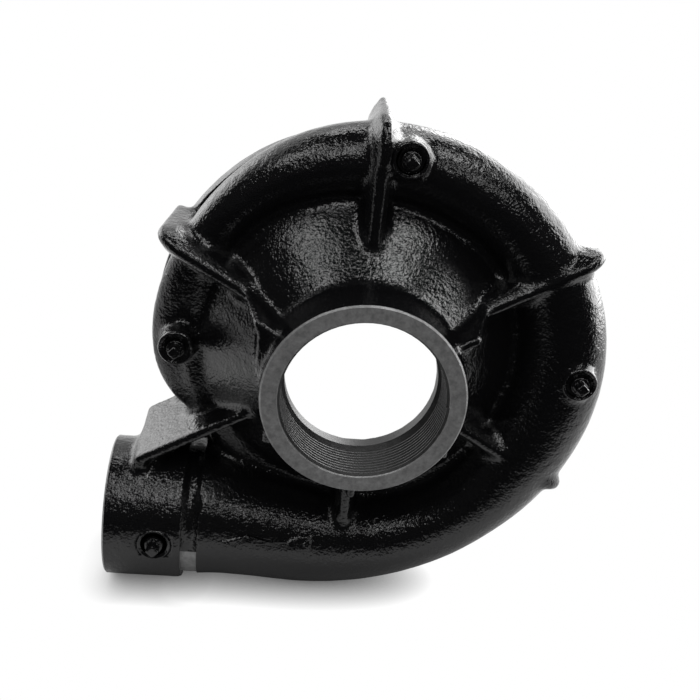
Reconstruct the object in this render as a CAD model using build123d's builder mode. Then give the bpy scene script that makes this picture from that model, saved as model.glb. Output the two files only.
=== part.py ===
from build123d import *

import os
from math import cos, radians, sin

# Volute pump casing, one iron casting, with four screwed pipe plugs.
# The pump axis is Y. The suction nozzle points to -Y and the machined back flange lies in the
# XZ plane, so the origin is the pump axis on the face that bolts to the bearing frame.
# The discharge leaves to -X, below the pump axis. Lengths are millimetres, angles degrees,
# measured counter-clockwise from +X as seen from the suction side.

# Suction nozzle, threaded for 4 inch pipe
casing_depth = 140.0
nozzle_radius = 68.5
nozzle_rim_chamfer = 1.2
suction_bore_radius = 56.6
suction_thread_length = 30.0
suction_mouth_chamfer = 1.6
suction_relief_radius = 54.6
suction_relief_length = 5.0
eye_radius = 52.6
eye_length = 6.0
nozzle_root_fillet = 9.0

# Front wall: a 45 degree cone, then a flat shoulder that rounds over to the drum
cone_root_depth = 36.5
cone_end_radius = 112.0
shoulder_edge_radius = 121.0
drum_radius = 134.0
wall = 8.0

# Back flange
flange_radius = 150.0
flange_thickness = 18.0
register_radius = 115.0
register_depth = 12.0
chamber_radius = 108.0
slot_radius = 126.0
slot_width = 18.0
slot_depth = 97.0
stud_circle_radius = 136.0
stud_count = 8
stud_hole_radius = 5.1
stud_hole_depth = 15.0

# Volute tube: outer reach from the pump axis, tube radius and depth of its centre behind the
# suction face, at each station on the way round from the tongue to the bottom
volute_stations = [
    (210, 132.0, 13.0, 94.0),
    (150, 150.0, 18.0, 90.0),
    (90, 165.5, 24.5, 85.5),
    (30, 174.5, 28.0, 82.0),
    (-30, 182.5, 33.5, 81.0),
    (-90, 195.5, 37.0, 81.0),
]

# Discharge throat and hub, threaded for 3 inch pipe
discharge_drop = 143.4
discharge_depth = 81.0
throat_radius = 49.5
throat_bore_radius = 38.0
throat_start = 112.0
neck_radius = 48.4
hub_start = 124.0
hub_end = 175.0
hub_radius = 52.5
hub_rim_fillet = 2.0
discharge_bore_radius = 43.4
discharge_thread_length = 30.0
discharge_mouth_chamfer = 1.5

# Stiffening ribs
rib_thickness = 5.4
rib_flare_width = 5.0
rib_flare_depth = 9.0
rib_front_depth = 52.5
rib_corner_radius = 19.0
rib_back_margin = 5.0
gusset_front_depth = 16.3
gusset_tip_radius = 85.0
gusset_foot_radius = 96.0
gusset_thickness = 6.6
web_thickness = 7.0
web_angle = 210
web_end = 155.0
gusset_angles = (30, 150, -90)
# Angle of each rib, its reach at the front and where its outer edge meets the flange
ribs = [
    (90, 177.0, 168.0),
    (30, 189.0, 176.0),
    (-30, 190.0, 176.0),
    (-90, 186.0, 172.0),
    (150, 168.0, 160.0),
]

# Plug bosses and plugs
boss_radius = 12.6
boss_rim = 1.6
boss_recess = 0.8
plug_hole_radius = 6.6
plug_clearance = 0.1
plug_thread_length = 10.0
plug_collar_height = 2.4
plug_head_width = 7.6
plug_head_height = 7.6
plug_head_corner = 1.5


def station(depth):
    """Y of a plane that lies the given depth behind the suction face."""
    return depth - casing_depth


def radial_plane(angle):
    """Plane through the pump axis: local x runs outward, local y runs along the pump axis."""
    turn = radians(angle)
    return Plane(origin=(0, 0, 0), x_dir=(cos(turn), 0, sin(turn)), z_dir=(-sin(turn), 0, cos(turn)))


def tube_plane(angle, centre_radius, depth):
    """Plane of one tube section, square to the flow."""
    turn = radians(angle)
    centre = (centre_radius * cos(turn), station(depth), centre_radius * sin(turn))
    return Plane(origin=centre, x_dir=(cos(turn), 0, sin(turn)), z_dir=(sin(turn), 0, -cos(turn)))


def throat_plane(run, drop, depth=discharge_depth):
    """Plane of one section of the straight discharge, the given run to the left of the axis."""
    return Plane(origin=(-run, station(depth), -drop), x_dir=(0, 0, -1), z_dir=(-1, 0, 0))


def rib_outline(reach, back, inset):
    """Side view of one rib: front edge, rounded outer corner and outer edge back to the flange."""
    front = rib_front_depth + inset
    root = (nozzle_radius, station(front))
    end = (back - inset, -rib_back_margin - inset)
    base = (nozzle_radius, -rib_back_margin - inset)
    FilletPolyline(
        root,
        (reach - inset, station(front)),
        end,
        base,
        radius=[rib_corner_radius - inset, 3.0],
    )
    Line(base, root)


bottom_reach = volute_stations[-1][1]
bottom_tube = volute_stations[-1][2]
mid_run = throat_start / 2
mid_tube = (bottom_tube + throat_radius) / 2
mid_drop = (bottom_reach - bottom_tube + discharge_drop) / 2

# Vent and drain bosses: place across and up from the pump axis, and depth of the face
hub_front_depth = discharge_depth - hub_radius
plug_seats = {
    "vent_plug": (18.0, 148.8, 54.0),
    "left_drain_plug": (-129.4, -1.0, 64.0),
    "right_drain_plug": (155.4, 0.8, 47.5),
    "gauge_plug": (-137.5, -discharge_drop, hub_front_depth + 1.0),
}

with BuildPart() as volute_casing:
    # Nozzle, cone, shoulder, drum and back flange in one turn
    with BuildSketch(Plane.XY) as body_section:
        with BuildLine():
            rim_start = (nozzle_radius, station(nozzle_rim_chamfer))
            cone_root = (nozzle_radius, station(cone_root_depth))
            cone_end_depth = cone_root_depth + cone_end_radius - nozzle_radius
            cone_end = (cone_end_radius, station(cone_end_depth))
            shoulder = (shoulder_edge_radius, station(cone_end_depth))
            drum_top = (drum_radius, station(cone_end_depth + drum_radius - shoulder_edge_radius))
            flange_front = (drum_radius, -flange_thickness)
            Polyline((0, -casing_depth), (nozzle_radius - nozzle_rim_chamfer, -casing_depth), rim_start)
            FilletPolyline(rim_start, cone_root, cone_end, shoulder, radius=[nozzle_root_fillet, 5.0])
            RadiusArc(shoulder, drum_top, -(drum_radius - shoulder_edge_radius))
            FilletPolyline(
                drum_top,
                flange_front,
                (flange_radius, -flange_thickness),
                (flange_radius, 0),
                (0, 0),
                radius=[4.0, 2.0, 1.0],
            )
            Line((0, 0), (0, -casing_depth))
        make_face()
    revolve(axis=Axis.Y)

    # Volute tube, growing from the tongue round to the straight throat
    for angle, reach, tube, depth in volute_stations:
        with BuildSketch(tube_plane(angle, reach - tube, depth)):
            Circle(tube)
    with BuildSketch(throat_plane(mid_run, mid_drop)):
        Circle(mid_tube)
    with BuildSketch(throat_plane(throat_start, discharge_drop)):
        Circle(throat_radius)
    loft()

    # Neck and discharge hub
    with BuildSketch(throat_plane(throat_start, discharge_drop)):
        Circle(neck_radius)
    extrude(amount=hub_start - throat_start)
    with BuildSketch(throat_plane(hub_start, discharge_drop)):
        Circle(hub_radius)
    extrude(amount=hub_end - hub_start)

    # Ribs from the nozzle over the tube to the flange: a thin crest between two flared flanks
    for angle, reach, back in ribs:
        for side in (1, -1):
            crest = radial_plane(angle).offset(side * rib_thickness / 2)
            foot = radial_plane(angle).offset(side * (rib_thickness / 2 + rib_flare_width))
            with BuildSketch(crest):
                with BuildLine():
                    rib_outline(reach, back, 0.0)
                make_face()
            with BuildSketch(foot):
                with BuildLine():
                    rib_outline(reach, back, rib_flare_depth)
                make_face()
            loft()
        with BuildSketch(radial_plane(angle)):
            with BuildLine():
                rib_outline(reach, back, 0.0)
            make_face()
        extrude(amount=rib_thickness / 2, both=True)

    # Gusset tongues that tie three of the ribs to the nozzle
    for angle in gusset_angles:
        with BuildSketch(radial_plane(angle)):
            with BuildLine():
                inside = nozzle_radius - wall
                FilletPolyline(
                    (inside, station(gusset_front_depth)),
                    (gusset_tip_radius, station(gusset_front_depth)),
                    (gusset_foot_radius, station(rib_front_depth)),
                    (gusset_foot_radius + wall, station(rib_front_depth + 2 * wall)),
                    radius=3.0,
                )
                Polyline(
                    (gusset_foot_radius + wall, station(rib_front_depth + 2 * wall)),
                    (inside, station(rib_front_depth)),
                    (inside, station(gusset_front_depth)),
                )
            make_face()
        extrude(amount=gusset_thickness / 2, both=True)

    # Web between the drum and the discharge hub, with its end lip standing on the hub
    with BuildSketch(radial_plane(web_angle)):
        with BuildLine():
            web_reach = web_end / cos(radians(web_angle - 180))
            FilletPolyline(
                (nozzle_radius, station(rib_front_depth)),
                (web_reach, station(rib_front_depth)),
                (web_reach, -rib_back_margin),
                (nozzle_radius, -rib_back_margin),
                radius=3.0,
            )
            Line((nozzle_radius, -rib_back_margin), (nozzle_radius, station(rib_front_depth)))
        make_face()
    extrude(amount=web_thickness / 2, both=True)
    with BuildSketch(Plane.XZ.offset(-station(rib_front_depth))):
        with BuildLine():
            web_drop = web_end * sin(radians(web_angle - 180)) / cos(radians(web_angle - 180))
            Polyline(
                (-web_end - 1.0, -web_drop),
                (-web_end - 1.0, -discharge_drop),
                (-web_end + web_thickness, -discharge_drop),
                (-web_end + web_thickness, -web_drop + web_thickness / 2),
                (-web_end - 1.0, -web_drop),
            )
        make_face()
    extrude(amount=-(casing_depth - rib_front_depth - rib_back_margin))

    # Bosses for the four plugs
    for across, up, face in plug_seats.values():
        with BuildSketch(Plane.XZ.offset(-station(face)).shift_origin((across, station(face), up))):
            Circle(boss_radius)
        extrude(amount=-(discharge_depth - face))

    # Impeller chamber, open at the back, with the register that centres the bearing frame
    with BuildSketch(Plane.XY):
        with BuildLine():
            inner_shift = wall / cos(radians(45))
            eye_end = suction_thread_length + suction_relief_length + eye_length
            inner_cone_end = cone_end_depth + inner_shift - (cone_end_radius - chamber_radius)
            Polyline(
                (0, -casing_depth - 1.0),
                (suction_bore_radius + suction_mouth_chamfer + 1.0, -casing_depth - 1.0),
                (suction_bore_radius, station(suction_mouth_chamfer)),
                (suction_bore_radius, station(suction_thread_length)),
                (suction_relief_radius, station(suction_thread_length)),
                (suction_relief_radius, station(suction_thread_length + suction_relief_length)),
                (eye_radius, station(suction_thread_length + suction_relief_length)),
                (eye_radius, station(eye_end)),
                (chamber_radius, station(inner_cone_end)),
                (chamber_radius, -register_depth),
                (register_radius, -register_depth),
                (register_radius, 1.0),
                (0, 1.0),
                (0, -casing_depth - 1.0),
            )
        make_face()
    revolve(axis=Axis.Y, mode=Mode.SUBTRACT)
    with BuildSketch(Plane.XY):
        with Locations(((chamber_radius - 4.0 + slot_radius) / 2, station(slot_depth))):
            Rectangle(slot_radius - chamber_radius + 4.0, slot_width)
    revolve(axis=Axis.Y, mode=Mode.SUBTRACT)

    # Volute passage and the discharge bore
    for angle, reach, tube, depth in volute_stations:
        with BuildSketch(tube_plane(angle, reach - tube, depth)):
            Circle(tube - wall)
    with BuildSketch(throat_plane(mid_run, mid_drop)):
        Circle((bottom_tube - wall + throat_bore_radius) / 2)
    with BuildSketch(throat_plane(throat_start, discharge_drop)):
        Circle(throat_bore_radius)
    loft(mode=Mode.SUBTRACT)
    with BuildSketch(throat_plane(throat_start - 1.0, discharge_drop)):
        Circle(throat_bore_radius)
    extrude(amount=hub_end - throat_start + 2.0, mode=Mode.SUBTRACT)
    with BuildSketch(throat_plane(hub_end - discharge_thread_length, discharge_drop)):
        Circle(discharge_bore_radius)
    extrude(amount=discharge_thread_length + 1.0, mode=Mode.SUBTRACT)

    # Plug holes with a shallow recess in each boss face, and stud holes in the back flange
    for across, up, face in plug_seats.values():
        mouth = Plane.XZ.offset(-station(face)).shift_origin((across, station(face), up))
        with BuildSketch(mouth):
            Circle(boss_radius - boss_rim)
        extrude(amount=-boss_recess, mode=Mode.SUBTRACT)
        with BuildSketch(mouth):
            Circle(plug_hole_radius)
        extrude(amount=-(discharge_depth - face), mode=Mode.SUBTRACT)
    with BuildSketch(Plane.XZ):
        with PolarLocations(stud_circle_radius, stud_count, start_angle=180 / stud_count):
            Circle(stud_hole_radius)
    extrude(amount=stud_hole_depth, mode=Mode.SUBTRACT)

os.makedirs("parts", exist_ok=True)
volute_casing.part.label = "volute_casing"
export_step(volute_casing.part, "parts/volute_casing.step")

# Square head pipe plugs, each screwed into its boss
for name, (across, up, face) in plug_seats.items():
    seat = Plane.XZ.offset(-station(face + boss_recess)).shift_origin((across, station(face + boss_recess), up))
    with BuildPart() as plug:
        with BuildSketch(seat.offset(-plug_thread_length)):
            Circle(plug_hole_radius - plug_clearance)
        extrude(amount=plug_thread_length + plug_collar_height)
        with BuildSketch(seat.offset(plug_collar_height)):
            RectangleRounded(plug_head_width, plug_head_width, plug_head_corner, rotation=45)
        extrude(amount=plug_head_height)
        chamfer(plug.edges().group_by(Axis.Y)[0], 0.6)
    plug.part.label = name
    export_step(plug.part, f"parts/{name}.step")
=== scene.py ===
"""Volute pump casing: a black enamelled iron casting with machined faces, threads and four pipe plugs."""

from math import cos, pi, radians, sin

import bmesh
import bpy
from mathutils import Matrix, Vector, noise
from mathutils.bvhtree import BVHTree


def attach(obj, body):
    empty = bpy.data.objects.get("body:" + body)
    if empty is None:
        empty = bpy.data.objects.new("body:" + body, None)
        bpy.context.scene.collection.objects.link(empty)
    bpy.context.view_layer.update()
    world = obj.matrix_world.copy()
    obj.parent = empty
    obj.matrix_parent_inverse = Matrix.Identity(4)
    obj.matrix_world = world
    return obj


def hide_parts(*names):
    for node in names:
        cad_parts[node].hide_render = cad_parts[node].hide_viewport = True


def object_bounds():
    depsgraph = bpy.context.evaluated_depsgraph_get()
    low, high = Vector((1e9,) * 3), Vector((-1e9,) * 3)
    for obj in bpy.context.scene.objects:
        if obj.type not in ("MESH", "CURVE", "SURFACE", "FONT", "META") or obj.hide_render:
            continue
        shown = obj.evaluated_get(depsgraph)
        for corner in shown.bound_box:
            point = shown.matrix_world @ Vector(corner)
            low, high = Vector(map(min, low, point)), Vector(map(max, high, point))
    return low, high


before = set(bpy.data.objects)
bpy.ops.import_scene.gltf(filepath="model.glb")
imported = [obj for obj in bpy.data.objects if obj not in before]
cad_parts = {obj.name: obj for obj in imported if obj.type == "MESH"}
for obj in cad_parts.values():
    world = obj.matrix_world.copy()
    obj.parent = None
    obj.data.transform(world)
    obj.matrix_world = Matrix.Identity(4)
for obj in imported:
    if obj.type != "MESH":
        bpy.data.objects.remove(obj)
cad_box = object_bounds()

# Sizes of the casing in metres, as in the part's source: the pump axis is Y, the suction faces -Y
SUCTION_FACE = -0.140
NOZZLE_RADIUS = 0.0685
SUCTION_BORE = 0.0566
SUCTION_DEPTH = 0.030
EYE_RADIUS = 0.0526
DISCHARGE_END = -0.175
DISCHARGE_DEPTH = 0.030
DISCHARGE_BORE = 0.0434
THROAT_BORE = 0.038
HUB_RADIUS = 0.0525
FLANGE_RADIUS = 0.150
REGISTER_RADIUS = 0.115
REGISTER_DEPTH = 0.012
CHAMBER_RADIUS = 0.108
STUD_CIRCLE = 0.136
STUD_COUNT = 8
STUD_RADIUS = 0.0051
STUD_DEPTH = 0.015
BOSS_RADIUS = 0.0126
PLUG_RADIUS = 0.0066

# Places: the pump axis, the discharge axis, the studs, and the middle of each boss face
PUMP_AXIS = Matrix()
DISCHARGE_AXIS = Matrix.Translation((0, -0.059, -0.1434)) @ Matrix.Rotation(radians(-90), 4, "Z")
STUD_AXES = [
    Matrix.Translation((STUD_CIRCLE * cos(turn), 0, STUD_CIRCLE * sin(turn)))
    for turn in [2 * pi * (count + 0.5) / STUD_COUNT for count in range(STUD_COUNT)]
]
# Cast pads beside the nozzle: from and to across, from and to up
PADS = [(-0.073, -0.060, 0.005, 0.039), (-0.065, -0.050, -0.046, -0.025), (0.050, 0.064, -0.049, -0.039)]
PAD_FRONT = -0.124
PAD_BACK = -0.096

# Wall that closes the pocket under the web: corners across and up
POCKET_WALL = [(-0.088, -0.051), (-0.128, -0.074), (-0.128, -0.120), (-0.088, -0.120)]
POCKET_WALL_FRONT = -0.034
POCKET_WALL_BACK = -0.012

# Lip at the end of the web, which leans forward to its foot on the hub: (station, up) corners
LIP_END = -0.1555
LIP_THICKNESS = 0.0060
LIP_OUTLINE = [(-0.0862, -0.088), (-0.0862, -0.095), (-0.0925, -0.107), (-0.059, -0.140), (-0.030, -0.110), (-0.030, -0.088)]

# Discharge hub and the neck between it and the throat, as places across
HUB_START = -0.1185
NECK_END = -0.1068
NECK_RADIUS = 0.0478

# Crest that raises the top rib over the tube: its side view of (radius, station) corners
CREST_ANGLE = 89.4
CREST_THICKNESS = 0.0054
CREST_OUTLINE = [(0.145, -0.0892), (0.1743, -0.0892), (0.1740, -0.0125), (0.1600, -0.0125), (0.1590, -0.0760)]
CREST_ROUND = 0.017

BOSS_FACES = {
    "vent_plug": Vector((0.018, -0.086, 0.1488)),
    "left_drain_plug": Vector((-0.1294, -0.076, -0.001)),
    "right_drain_plug": Vector((0.1554, -0.0925, 0.0008)),
    "gauge_plug": Vector((-0.1375, -0.1105, -0.1434)),
}

# Skin of the casting: grid, radius of the fillets in hollow corners, smoothing, and hand-made waves
SKIN_VOXEL = 0.0017
CAST_FILLET = 0.003
SMOOTH_STEPS = 2
WAVES = ((0.00030, 34.0), (0.00012, 120.0))
SKIN_TRIANGLES = 185000

# Metal that the machining takes off, and the chamfers that it leaves
STOCK = 0.006
EDGE_CHAMFER = 0.0012
MOUTH_CHAMFER = 0.0008

# Taper pipe threads, 8 threads per inch, 1 in 16
THREAD_PITCH = 0.003175
THREAD_HEIGHT = 0.0018
THREAD_TAPER = 1 / 32
CREST_WIDTH = 0.0006


def linked(name, shape):
    """Turn a bmesh into a piece in the scene."""
    mesh = bpy.data.meshes.new(name)
    shape.to_mesh(mesh)
    shape.free()
    piece = bpy.data.objects.new(name, mesh)
    bpy.context.collection.objects.link(piece)
    return piece


def turn_profile(shape, profile, place=PUMP_AXIS, steps=128):
    """Add a closed profile of (radius, station) corners, turned about the Y axis of a place."""
    first_face = len(shape.faces)
    first_corner = len(shape.verts)
    corners = [shape.verts.new(place @ Vector((radius, along, 0))) for radius, along in profile]
    sides = [shape.edges.new((corners[i - 1], corners[i])) for i in range(len(corners))]
    bmesh.ops.spin(
        shape,
        geom=corners + sides,
        cent=place.translation,
        axis=place.to_3x3() @ Vector((0, 1, 0)),
        angle=2 * pi,
        steps=steps,
        use_merge=True,
    )
    shape.verts.ensure_lookup_table()
    bmesh.ops.remove_doubles(shape, verts=shape.verts[first_corner:], dist=1e-6)
    shape.faces.ensure_lookup_table()
    bmesh.ops.recalc_face_normals(shape, faces=shape.faces[first_face:])


def prism(shape, outline, shift):
    """Add a closed prism from the corners of one end and the shift to the other."""
    face = shape.faces.new([shape.verts.new(corner) for corner in outline])
    raised = bmesh.ops.extrude_face_region(shape, geom=[face], use_keep_orig=True)
    far = [item for item in raised["geom"] if isinstance(item, bmesh.types.BMVert)]
    bmesh.ops.translate(shape, verts=far, vec=shift)
    walls = {wall for corner in far for wall in corner.link_faces} | {face}
    bmesh.ops.recalc_face_normals(shape, faces=list(walls))


def rib_crest():
    """Thin crest in the plane of the top rib, rounded at its front corner."""
    shape = bmesh.new()
    corners = [shape.verts.new((radius, along, -CREST_THICKNESS / 2)) for radius, along in CREST_OUTLINE]
    shape.faces.new(corners)
    bmesh.ops.bevel(
        shape, geom=[corners[1]], affect="VERTICES", offset=CREST_ROUND, segments=6, profile=0.5, material=-1
    )
    raised = bmesh.ops.extrude_face_region(shape, geom=shape.faces[:], use_keep_orig=True)
    far = [item for item in raised["geom"] if isinstance(item, bmesh.types.BMVert)]
    bmesh.ops.translate(shape, verts=far, vec=(0, 0, CREST_THICKNESS))
    bmesh.ops.recalc_face_normals(shape, faces=shape.faces)
    bmesh.ops.transform(shape, matrix=Matrix.Rotation(-radians(CREST_ANGLE), 4, "Y"), verts=shape.verts)
    mesh = bpy.data.meshes.new("rib_crest")
    shape.to_mesh(mesh)
    shape.free()
    return mesh


def apply_modifiers(piece):
    """Write the modifiers' result into the mesh."""
    evaluated = piece.evaluated_get(bpy.context.evaluated_depsgraph_get())
    mesh = bpy.data.meshes.new_from_object(evaluated)
    piece.modifiers.clear()
    old = piece.data
    piece.data = mesh
    bpy.data.meshes.remove(old)


def remesh(piece, voxel):
    """Rebuild a closed mesh on an even grid."""
    modifier = piece.modifiers.new("remesh", "REMESH")
    modifier.mode = "VOXEL"
    modifier.voxel_size = voxel
    apply_modifiers(piece)


def grow(piece, distance):
    """Move the whole surface along its normals."""
    modifier = piece.modifiers.new("grow", "DISPLACE")
    modifier.strength = distance
    modifier.mid_level = 0
    apply_modifiers(piece)


def thin_out(piece, most_triangles):
    """Merge small faces where the surface is flat, down to a number of triangles."""
    triangles = sum(len(face.vertices) - 2 for face in piece.data.polygons)
    modifier = piece.modifiers.new("thin", "DECIMATE")
    modifier.ratio = min(1.0, most_triangles / triangles)
    apply_modifiers(piece)


def cut_away(piece, cutter):
    """Take the cutter's solids off the piece, which keeps the cutter's material on the cut faces."""
    modifier = piece.modifiers.new("cut", "BOOLEAN")
    modifier.operation = "DIFFERENCE"
    modifier.solver = "EXACT"
    modifier.material_mode = "TRANSFER"
    modifier.object = cutter
    apply_modifiers(piece)
    bpy.data.objects.remove(cutter)


def soften(shape, steps):
    """Round the outer corners a little, as on a sand casting."""
    for step in range(steps):
        bmesh.ops.smooth_vert(
            shape, verts=shape.verts, factor=0.5, use_axis_x=True, use_axis_y=True, use_axis_z=True
        )


def wave(shape):
    """Let the surface swell and dip by a few tenths of a millimetre."""
    shape.normal_update()
    for corner in shape.verts:
        swell = sum(height * noise.noise(corner.co * scale) for height, scale in WAVES)
        corner.co += corner.normal * swell


def node_copy(name):
    """Merged copy of a CAD node's mesh."""
    shape = bmesh.new()
    shape.from_mesh(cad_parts[name].data)
    bmesh.ops.remove_doubles(shape, verts=shape.verts, dist=1e-6)
    return shape


def dress(piece, material):
    """Give a piece its material and its body."""
    piece.data.materials.clear()
    piece.data.materials.append(material)
    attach(piece, "root")


# Materials


def node_material(name):
    """A new material, its node tree and its Principled shader."""
    material = bpy.data.materials.new(name)
    material.use_nodes = True
    tree = material.node_tree
    return material, tree, tree.nodes["Principled BSDF"]


def object_coordinates(tree):
    """Texture Coordinate's Object output, which stays with the piece."""
    return tree.nodes.new("ShaderNodeTexCoord").outputs["Object"]


def cells(tree, coordinates, scale, detail=2.0, roughness=0.5):
    """Noise texture of the given scale, in cells per metre."""
    node = tree.nodes.new("ShaderNodeTexNoise")
    node.inputs["Scale"].default_value = scale
    node.inputs["Detail"].default_value = detail
    node.inputs["Roughness"].default_value = roughness
    tree.links.new(coordinates, node.inputs["Vector"])
    return node.outputs["Fac"]


def bump(tree, height, distance, below=None):
    """Bump of one height field, laid over the bump below it."""
    node = tree.nodes.new("ShaderNodeBump")
    node.inputs["Distance"].default_value = distance
    tree.links.new(height, node.inputs["Height"])
    if below is not None:
        tree.links.new(below, node.inputs["Normal"])
    return node.outputs["Normal"]


def spread(tree, value, from_low, from_high, to_low, to_high):
    """Map one range of values to another with soft ends."""
    node = tree.nodes.new("ShaderNodeMapRange")
    node.interpolation_type = "SMOOTHSTEP"
    node.inputs["From Min"].default_value = from_low
    node.inputs["From Max"].default_value = from_high
    node.inputs["To Min"].default_value = to_low
    node.inputs["To Max"].default_value = to_high
    tree.links.new(value, node.inputs["Value"])
    return node.outputs["Result"]


def gloss_enamel():
    """Gloss black enamel over a sand-cast skin: waves, orange peel and sand grain."""
    material, tree, shader = node_material("black_enamel")
    coordinates = object_coordinates(tree)
    shader.inputs["Base Color"].default_value = (0.002, 0.002, 0.0022, 1)
    shader.inputs["IOR"].default_value = 1.5
    gloss = spread(tree, cells(tree, coordinates, 30.0), 0.35, 0.65, 0.045, 0.10)
    tree.links.new(gloss, shader.inputs["Roughness"])
    lumps = bump(tree, cells(tree, coordinates, 170.0), 0.0006)
    peel = bump(tree, cells(tree, coordinates, 500.0, 2.0), 0.00045, lumps)
    grain = bump(tree, cells(tree, coordinates, 900.0, 1.0), 0.00008, peel)
    tree.links.new(grain, shader.inputs["Normal"])
    return material


def bare_iron(name, dark, light, metallic, roughness):
    """Bare grey iron, faced or bored on a lathe, a little stained; given near-black ends, it paints the shade inside
    the bores.
    """
    material, tree, shader = node_material(name)
    coordinates = object_coordinates(tree)
    stain = cells(tree, coordinates, 260.0, 5.0, 0.65)
    colour = tree.nodes.new("ShaderNodeValToRGB")
    colour.color_ramp.elements[0].position = 0.35
    colour.color_ramp.elements[0].color = (dark, dark, dark, 1)
    colour.color_ramp.elements[1].position = 0.68
    colour.color_ramp.elements[1].color = (light, light, light, 1)
    tree.links.new(stain, colour.inputs["Fac"])
    tree.links.new(colour.outputs["Color"], shader.inputs["Base Color"])
    shader.inputs["Metallic"].default_value = metallic
    shader.inputs["Roughness"].default_value = roughness
    grain = bump(tree, cells(tree, coordinates, 1300.0, 3.0), 0.00012)
    tree.links.new(grain, shader.inputs["Normal"])
    return material


black_enamel = gloss_enamel()
machined_iron = bare_iron("machined_iron", 0.13, 0.22, 0.65, 0.42)
# Near-black copy for the threads and bore walls: painted shade inside the bores
bore_iron_painted_shade = bare_iron("bore_iron_painted_shade", 0.006, 0.016, 0.0, 0.45)

# Casting: rough shape with stock on the faces, then machined


def machining_stock(shape):
    """Fill the bores, the register and the stud holes, and lengthen the ends, before machining."""
    inside = SUCTION_FACE + SUCTION_DEPTH + STOCK
    turn_profile(shape, [(0, SUCTION_FACE - STOCK), (NOZZLE_RADIUS, SUCTION_FACE - STOCK), (NOZZLE_RADIUS, inside), (0, inside)])
    eye_fill = EYE_RADIUS - 0.0032
    turn_profile(shape, [(0, inside - STOCK), (eye_fill, inside - STOCK), (eye_fill, inside + 0.012), (0, inside + 0.012)])
    inside = DISCHARGE_END + DISCHARGE_DEPTH
    turn_profile(
        shape,
        [(0, DISCHARGE_END - STOCK), (HUB_RADIUS, DISCHARGE_END - STOCK), (HUB_RADIUS, inside), (0, inside)],
        DISCHARGE_AXIS,
    )
    throat_fill = THROAT_BORE - 0.002
    turn_profile(
        shape,
        [(0, inside - STOCK), (throat_fill, inside - STOCK), (throat_fill, inside + 0.013), (0, inside + 0.013)],
        DISCHARGE_AXIS,
    )
    inner = CHAMBER_RADIUS - 0.008
    step = -REGISTER_DEPTH - 0.002
    turn_profile(shape, [(inner, step), (FLANGE_RADIUS, step), (FLANGE_RADIUS, STOCK), (inner, STOCK)])
    for left, right, low, high in PADS:
        corners = [(left, low), (right, low), (right, high), (left, high)]
        prism(shape, [(across, PAD_FRONT, up) for across, up in corners], (0, PAD_BACK - PAD_FRONT, 0))
    wall = [(across, POCKET_WALL_FRONT, up) for across, up in POCKET_WALL]
    prism(shape, wall, (0, POCKET_WALL_BACK - POCKET_WALL_FRONT, 0))
    prism(shape, [(LIP_END, along, up) for along, up in LIP_OUTLINE], (LIP_THICKNESS, 0, 0))
    turn_profile(shape, [(0.041, -0.127), (HUB_RADIUS, -0.127), (HUB_RADIUS, HUB_START), (0.041, HUB_START)], DISCHARGE_AXIS)
    shape.from_mesh(rib_crest())
    for place in STUD_AXES:
        bottom = -STUD_DEPTH - 0.001
        turn_profile(shape, [(0, bottom), (0.0065, bottom), (0.0065, 0.003), (0, 0.003)], place, 24)


def from_axis(point, place):
    """Distance of a point from the Y axis of a place."""
    local = place.inverted() @ point
    return Vector((local.x, local.z)).length


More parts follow.
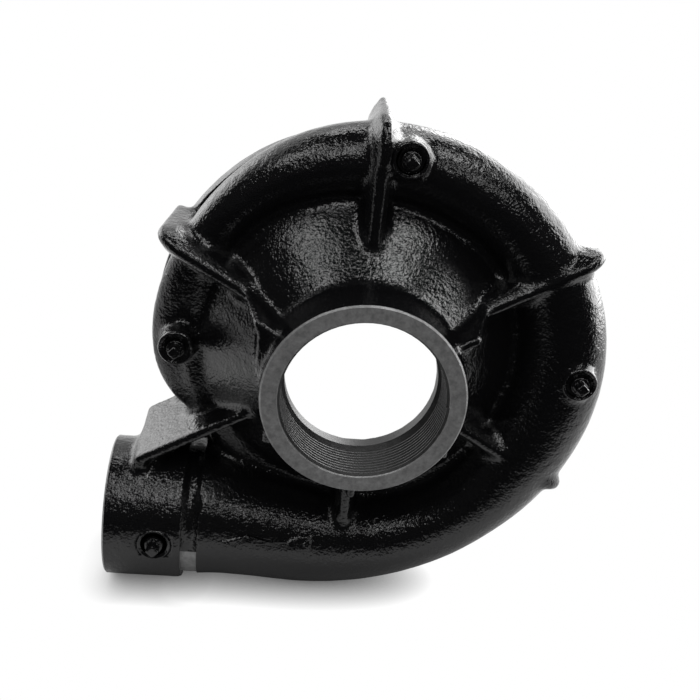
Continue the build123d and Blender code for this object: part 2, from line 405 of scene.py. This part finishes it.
def turned_cutter():
    """What the lathe takes off: both ends with their bores, and the back face with its register."""
    shape = bmesh.new()
    far = 0.02
    bore_end = SUCTION_FACE + SUCTION_DEPTH
    turn_profile(
        shape,
        [
            (0, SUCTION_FACE - far),
            (NOZZLE_RADIUS + far, SUCTION_FACE - far),
            (NOZZLE_RADIUS + far, SUCTION_FACE + 2.5 * EDGE_CHAMFER),
            (NOZZLE_RADIUS + 1.5 * EDGE_CHAMFER, SUCTION_FACE + 2.5 * EDGE_CHAMFER),
            (NOZZLE_RADIUS - EDGE_CHAMFER, SUCTION_FACE),
            (SUCTION_BORE + MOUTH_CHAMFER, SUCTION_FACE),
            (SUCTION_BORE, SUCTION_FACE + MOUTH_CHAMFER),
            (SUCTION_BORE, bore_end),
            (EYE_RADIUS, bore_end + 0.005),
            (EYE_RADIUS, bore_end + 0.025),
            (0, bore_end + 0.025),
        ],
    )
    bore_end = DISCHARGE_END + DISCHARGE_DEPTH
    turn_profile(
        shape,
        [
            (0, DISCHARGE_END - far),
            (HUB_RADIUS + far, DISCHARGE_END - far),
            (HUB_RADIUS + far, DISCHARGE_END + 2.5 * EDGE_CHAMFER),
            (HUB_RADIUS + 1.5 * EDGE_CHAMFER, DISCHARGE_END + 2.5 * EDGE_CHAMFER),
            (HUB_RADIUS - EDGE_CHAMFER, DISCHARGE_END),
            (DISCHARGE_BORE + MOUTH_CHAMFER, DISCHARGE_END),
            (DISCHARGE_BORE, DISCHARGE_END + MOUTH_CHAMFER),
            (DISCHARGE_BORE, bore_end),
            (THROAT_BORE, bore_end + 0.004),
            (THROAT_BORE, bore_end + 0.022),
            (0, bore_end + 0.022),
        ],
        DISCHARGE_AXIS,
    )
    opening = CHAMBER_RADIUS + 0.0008
    turn_profile(
        shape,
        [
            (0, far),
            (FLANGE_RADIUS + far, far),
            (FLANGE_RADIUS + far, -2 * EDGE_CHAMFER),
            (FLANGE_RADIUS + EDGE_CHAMFER, -2 * EDGE_CHAMFER),
            (FLANGE_RADIUS - EDGE_CHAMFER, 0),
            (REGISTER_RADIUS + EDGE_CHAMFER / 2, 0),
            (REGISTER_RADIUS, -EDGE_CHAMFER / 2),
            (REGISTER_RADIUS, -REGISTER_DEPTH),
            (opening, -REGISTER_DEPTH),
            (opening, -REGISTER_DEPTH - 0.0095),
            (0, -REGISTER_DEPTH - 0.0095),
        ],
    )
    neck = len(shape.faces)
    turn_profile(
        shape,
        [(NECK_RADIUS, HUB_START), (0.0545, HUB_START), (0.0545, NECK_END), (NECK_RADIUS, NECK_END)],
        DISCHARGE_AXIS,
    )
    # Bore walls take the near-black iron: painted shade inside the bores
    for part in shape.faces:
        middle = part.calc_center_median()
        in_suction = from_axis(middle, PUMP_AXIS) < SUCTION_BORE + 0.0003 and middle.y < -0.06
        in_discharge = from_axis(middle, DISCHARGE_AXIS) < DISCHARGE_BORE + 0.0003
        if in_discharge or in_suction:
            part.material_index = 2
    for face in BOSS_FACES.values():
        turn_profile(
            shape,
            [
                (0, 0.0008),
                (BOSS_RADIUS - 0.0022, 0.0008),
                (BOSS_RADIUS - 0.0018, 0.0001),
                (BOSS_RADIUS + 0.0006, 0.0001),
                (BOSS_RADIUS + 0.0006, -0.006),
                (0, -0.006),
            ],
            Matrix.Translation(face),
            48,
        )
    shape.faces.ensure_lookup_table()
    for part in shape.faces[neck:]:
        part.material_index = 1
    cutter = linked("turned_cutter", shape)
    for finish in (machined_iron, black_enamel, bore_iron_painted_shade):
        cutter.data.materials.append(finish)
    return cutter


def stud_cutter():
    """Drilled and countersunk stud holes."""
    shape = bmesh.new()
    for place in STUD_AXES:
        turn_profile(
            shape,
            [
                (0, 0.004),
                (STUD_RADIUS + 0.005, 0.004),
                (STUD_RADIUS, -0.001),
                (STUD_RADIUS, -STUD_DEPTH),
                (0, -STUD_DEPTH - 0.0015),
            ],
            place,
            32,
        )
    cutter = linked("stud_cutter", shape)
    cutter.data.materials.append(machined_iron)
    return cutter


def crease_machined_edges(piece):
    """Shade the casting smooth and keep the edges of its machined faces sharp."""
    shape = bmesh.new()
    shape.from_mesh(piece.data)
    for face in shape.faces:
        face.smooth = True
    for edge in shape.edges:
        machined = any(face.material_index > 0 for face in edge.link_faces)
        edge.smooth = not (machined and edge.calc_face_angle(0) > radians(20))
    shape.to_mesh(piece.data)
    shape.free()


def casting():
    """Copy of the casing with the filleted corners of a sand casting, machined where it mates."""
    rough = node_copy("volute_casing")
    machining_stock(rough)
    skin = linked("casting", rough)
    remesh(skin, SKIN_VOXEL)
    grow(skin, CAST_FILLET)
    remesh(skin, SKIN_VOXEL)
    grow(skin, -CAST_FILLET)
    remesh(skin, SKIN_VOXEL)
    shape = bmesh.new()
    shape.from_mesh(skin.data)
    soften(shape, SMOOTH_STEPS)
    wave(shape)
    shape.to_mesh(skin.data)
    shape.free()
    thin_out(skin, SKIN_TRIANGLES)
    dress(skin, black_enamel)
    cut_away(skin, turned_cutter())
    cut_away(skin, stud_cutter())
    crease_machined_edges(skin)
    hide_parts("volute_casing")
    return skin


# Threads


def pipe_thread(name, place, bore, start, length, steps_a_turn=64):
    """Tapered helical ridge that stands on the wall of a bore, from its mouth inwards."""
    turns = length / THREAD_PITCH - 1
    shape = bmesh.new()
    root = bore + 0.0003
    crest = root - THREAD_HEIGHT
    middle = THREAD_PITCH / 2
    profile = [(root, 0), (crest, middle - CREST_WIDTH / 2), (crest, middle + CREST_WIDTH / 2), (root, THREAD_PITCH)]
    corners = [shape.verts.new((radius, start + along, 0)) for radius, along in profile]
    sides = [shape.edges.new((corners[i - 1], corners[i])) for i in range(len(corners))]
    steps = round(turns * steps_a_turn)
    bmesh.ops.spin(
        shape,
        geom=corners + sides,
        cent=(0, 0, 0),
        axis=(0, 1, 0),
        dvec=(0, THREAD_PITCH / steps_a_turn, 0),
        angle=2 * pi * steps / steps_a_turn,
        steps=steps,
        use_merge=False,
    )
    bmesh.ops.holes_fill(shape, edges=shape.edges, sides=len(profile))
    for corner in shape.verts:
        radius = Vector((corner.co.x, corner.co.z)).length
        shrink = 1 - THREAD_TAPER * (corner.co.y - start) / radius
        corner.co.x *= shrink
        corner.co.z *= shrink
    bmesh.ops.recalc_face_normals(shape, faces=shape.faces)
    bmesh.ops.transform(shape, matrix=place, verts=shape.verts)
    ridge = linked(name, shape)
    # The ridge takes the near-black iron: painted shade inside the bore
    dress(ridge, bore_iron_painted_shade)
    return ridge


# Bosses and plugs


def boss_ring(name, face):
    """Painted face of a plug boss: a rounded rim round a shallow recess."""
    shape = bmesh.new()
    profile = [
        (PLUG_RADIUS + 0.0002, -0.0008),
        (BOSS_RADIUS - 0.0028, -0.0008),
        (BOSS_RADIUS - 0.0016, 0.0004),
        (BOSS_RADIUS - 0.0012, 0.0006),
        (BOSS_RADIUS - 0.0008, 0.0005),
        (BOSS_RADIUS - 0.0001, -0.0004),
        (BOSS_RADIUS + 0.0002, -0.0016),
        (BOSS_RADIUS + 0.0002, -0.004),
        (PLUG_RADIUS + 0.0002, -0.004),
    ]
    outward = Matrix.Translation(face) @ Matrix.Rotation(pi, 4, "Z")
    turn_profile(shape, profile, outward, 64)
    for part in shape.faces:
        part.smooth = True
    ring = linked(name, shape)
    dress(ring, black_enamel)
    return ring


def painted_plug(name):
    """Square head plug with its edges rounded by paint."""
    plug = linked(name.replace("plug", "painted_plug"), node_copy(name))
    remesh(plug, 0.0005)
    shape = bmesh.new()
    shape.from_mesh(plug.data)
    soften(shape, 3)
    for face in shape.faces:
        face.smooth = True
    shape.to_mesh(plug.data)
    shape.free()
    dress(plug, black_enamel)
    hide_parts(name)
    return plug


# Flow arrow on the throat: from tail to tip across and up, and half outline along and beside it
ARROW_TAIL = Vector((-0.0225, 0, -0.144))
ARROW_TIP = Vector((-0.092, 0, -0.1395))
ARROW_OUTLINE = [
    (0.0095, 0.0),
    (0.0, 0.0068),
    (0.010, 0.0068),
    (0.019, 0.0024),
    (0.050, 0.0024),
    (0.050, 0.0066),
    (0.0696, 0.0),
]
ARROW_HEIGHT = 0.0016
ARROW_BEVEL = 0.0013


def flow_arrow(skin):
    """Raised arrow that shows which way the water leaves, laid on the throat's front."""
    along = (ARROW_TIP - ARROW_TAIL).normalized()
    beside = along.cross(Vector((0, 1, 0)))
    half = [(run, rise) for run, rise in ARROW_OUTLINE]
    outline = half + [(run, -rise) for run, rise in reversed(half[1:-1])]
    shape = bmesh.new()
    corners = [shape.verts.new(ARROW_TAIL + along * run + beside * rise) for run, rise in outline]
    face = shape.faces.new(corners)
    bmesh.ops.triangulate(shape, faces=[face])
    bmesh.ops.subdivide_edges(shape, edges=shape.edges, cuts=3, use_grid_fill=True)
    bmesh.ops.triangulate(shape, faces=shape.faces)
    flat = shape.faces[:]
    raised = bmesh.ops.extrude_face_region(shape, geom=flat, use_keep_orig=True)
    ledge = {item for item in raised["geom"] if isinstance(item, bmesh.types.BMVert)}
    crown = [item for item in raised["geom"] if isinstance(item, bmesh.types.BMFace)]
    bmesh.ops.inset_region(shape, faces=crown, thickness=ARROW_BEVEL, use_even_offset=True)
    tops = {corner for part in crown for corner in part.verts}
    surface = BVHTree.FromPolygons([v.co for v in skin.data.vertices], [f.vertices for f in skin.data.polygons])
    for corner in shape.verts:
        start = Vector((corner.co.x, -0.2, corner.co.z))
        hit = surface.ray_cast(start, Vector((0, 1, 0)))[0]
        rise = -ARROW_HEIGHT if corner in tops else -0.0001 if corner in ledge else 0.002
        corner.co.y = hit.y + rise
    bmesh.ops.recalc_face_normals(shape, faces=shape.faces)
    for part in shape.faces:
        part.smooth = True
    arrow = linked("flow_arrow", shape)
    dress(arrow, black_enamel)
    return arrow


skin = casting()
pipe_thread("suction_thread", PUMP_AXIS, SUCTION_BORE, SUCTION_FACE + 0.0004, SUCTION_DEPTH)
pipe_thread("discharge_thread", DISCHARGE_AXIS, DISCHARGE_BORE, DISCHARGE_END + 0.0004, DISCHARGE_DEPTH)
for name, face in BOSS_FACES.items():
    boss_ring(name.replace("plug", "boss_ring"), face)
    painted_plug(name)
flow_arrow(skin)

# Floor, backdrop and lights. Azimuth runs from straight behind the object to its right
FLOOR_HALF = 6.0
# Painted shadow on the floor: reach and depth for the camera, then a wider, deeper painted shade for reflections,
# and the span over which reflections see the floor painted dark in front
SHADOW_REACH = 0.024
SHADOW_DEPTH = 0.9
MIRRORED_SHADOW_REACH = 0.13
MIRRORED_SHADOW_DEPTH = 2.2
MIRRORED_SHADE_FRONT = (-0.34, -0.16)
BACKDROP_DIRECTION = (sin(radians(12)), cos(radians(12)), 0)
DARK_SIDE = 0.03


def mix(tree, factor, low, high):
    """Blend two values, each a number or an output."""
    node = tree.nodes.new("ShaderNodeMix")
    tree.links.new(factor, node.inputs["Factor"])
    for socket, value in (("A", low), ("B", high)):
        if isinstance(value, float):
            node.inputs[socket].default_value = value
        else:
            tree.links.new(value, node.inputs[socket])
    return node.outputs["Result"]


def combine(tree, operation, first, second):
    """Math node on two outputs."""
    node = tree.nodes.new("ShaderNodeMath")
    node.operation = operation
    tree.links.new(first, node.inputs[0])
    tree.links.new(second, node.inputs[1])
    return node.outputs["Value"]


def open_sky(tree, reach, depth):
    """One in the open, and less where something stands within reach: the level of the floor's painted shadow."""
    cover = tree.nodes.new("ShaderNodeAmbientOcclusion")
    cover.inputs["Distance"].default_value = reach
    level = tree.nodes.new("ShaderNodeMath")
    level.operation = "POWER"
    level.inputs[1].default_value = depth
    tree.links.new(cover.outputs["AO"], level.inputs[0])
    return level.outputs["Value"]


def pale_floor():
    """White floor with a painted shadow where the casting stands close over it; reflections see a wider, deeper
    painted shade and the floor painted dark in front of the casting.
    """
    level = cad_box[0][2]
    mesh = bpy.data.meshes.new("floor")
    shape = bmesh.new()
    bmesh.ops.create_grid(shape, size=FLOOR_HALF, matrix=Matrix.Translation((0, 0, level)))
    shape.to_mesh(mesh)
    shape.free()
    sheet = bpy.data.objects.new("floor", mesh)
    bpy.context.collection.objects.link(sheet)
    material, tree, shader = node_material("floor_white")
    shader.inputs["Base Color"].default_value = (0, 0, 0, 1)
    shader.inputs["Specular IOR Level"].default_value = 0
    shader.inputs["Emission Color"].default_value = (1, 1, 1, 1)
    level_seen = open_sky(tree, SHADOW_REACH, SHADOW_DEPTH)
    level_mirrored = open_sky(tree, MIRRORED_SHADOW_REACH, MIRRORED_SHADOW_DEPTH)
    place = tree.nodes.new("ShaderNodeSeparateXYZ")
    tree.links.new(object_coordinates(tree), place.inputs["Vector"])
    # Reflections see the floor painted dark in front of the casting
    behind_front = spread(tree, place.outputs["Y"], *MIRRORED_SHADE_FRONT, 0.0, 1.0)
    level_mirrored = combine(tree, "MULTIPLY", level_mirrored, behind_front)
    path = tree.nodes.new("ShaderNodeLightPath")
    level = mix(tree, path.outputs["Is Glossy Ray"], level_seen, level_mirrored)
    tree.links.new(level, shader.inputs["Emission Strength"])
    mesh.materials.append(material)


def studio_world():
    """White room, of which reflections see the white backdrop and the dark side by the camera."""
    world = bpy.data.worlds.new("studio")
    world.use_nodes = True
    tree = world.node_tree
    direction = tree.nodes.new("ShaderNodeTexCoord").outputs["Generated"]
    facing = tree.nodes.new("ShaderNodeVectorMath")
    facing.operation = "DOT_PRODUCT"
    facing.inputs[1].default_value = BACKDROP_DIRECTION
    tree.links.new(direction, facing.inputs[0])
    height = tree.nodes.new("ShaderNodeSeparateXYZ")
    tree.links.new(direction, height.inputs["Vector"])
    behind = spread(tree, facing.outputs["Value"], -0.10, 0.20, 0.0, 1.0)
    under_top = spread(tree, height.outputs["Z"], 0.70, 0.86, 1.0, 0.0)
    backdrop = combine(tree, "MULTIPLY", behind, under_top)
    path = tree.nodes.new("ShaderNodeLightPath")
    mirrored = combine(tree, "MAXIMUM", path.outputs["Is Glossy Ray"], path.outputs["Is Transmission Ray"])
    in_reflection = mix(tree, backdrop, DARK_SIDE, 1.0)
    background = tree.nodes["Background"]
    background.inputs["Color"].default_value = (1, 1, 1, 1)
    tree.links.new(mix(tree, mirrored, 1.0, in_reflection), background.inputs["Strength"])
    bpy.context.scene.world = world


def softbox(name, azimuth, elevation, distance, width, height, radiance):
    """Rectangular soft light that faces the object, placed by its direction from the origin."""
    lamp = bpy.data.lights.new(name, "AREA")
    lamp.shape = "RECTANGLE"
    lamp.size = width
    lamp.size_y = height
    lamp.energy = radiance * pi * width * height
    holder = bpy.data.objects.new(name, lamp)
    bpy.context.collection.objects.link(holder)
    turn = radians(azimuth)
    rise = radians(elevation)
    holder.location = distance * Vector((sin(turn) * cos(rise), cos(turn) * cos(rise), sin(rise)))
    holder.rotation_euler = (-holder.location).to_track_quat("-Z", "Y").to_euler()


pale_floor()
studio_world()
softbox("light_right_back", 55, 18, 1.5, 2.4, 1.8, 5.5)
softbox("light_left_back", -52, 14, 1.5, 1.1, 0.9, 2.0)
softbox("light_right_top", 140, 60, 1.2, 0.45, 0.35, 6.5)
softbox("light_front_right", 152, 32, 1.2, 0.30, 0.20, 4.0)
softbox("light_left_top", -125, 52, 1.2, 0.50, 0.30, 4.5)
softbox("light_top", 5, 66, 1.3, 1.2, 0.28, 5.0)
softbox("light_front", -170, 42, 1.0, 0.25, 0.45, 4.0)

# Camera: place, and the turns that bring it from level to the photograph's view
CAMERA_PLACE = Vector((-0.06113, -0.74654, 0.31582))
CAMERA_YAW = radians(4.568)
CAMERA_PITCH = radians(24.609)
CAMERA_ROLL = radians(6.119)
CAMERA_LENS = 54.0


def photograph_camera():
    """Camera at the photograph's viewing angle."""
    forward = Vector((sin(CAMERA_YAW) * cos(CAMERA_PITCH), cos(CAMERA_YAW) * cos(CAMERA_PITCH), -sin(CAMERA_PITCH)))
    level_right = Vector((cos(CAMERA_YAW), -sin(CAMERA_YAW), 0))
    level_up = level_right.cross(forward)
    right = cos(CAMERA_ROLL) * level_right + sin(CAMERA_ROLL) * level_up
    up = cos(CAMERA_ROLL) * level_up - sin(CAMERA_ROLL) * level_right
    camera = bpy.data.objects.new("camera", bpy.data.cameras.new("camera"))
    bpy.context.collection.objects.link(camera)
    camera.data.lens = CAMERA_LENS
    camera.matrix_world = Matrix.Translation(CAMERA_PLACE) @ Matrix((right, up, -forward)).transposed().to_4x4()
    bpy.context.scene.camera = camera


photograph_camera()
bpy.context.scene.view_settings.view_transform = "Standard"
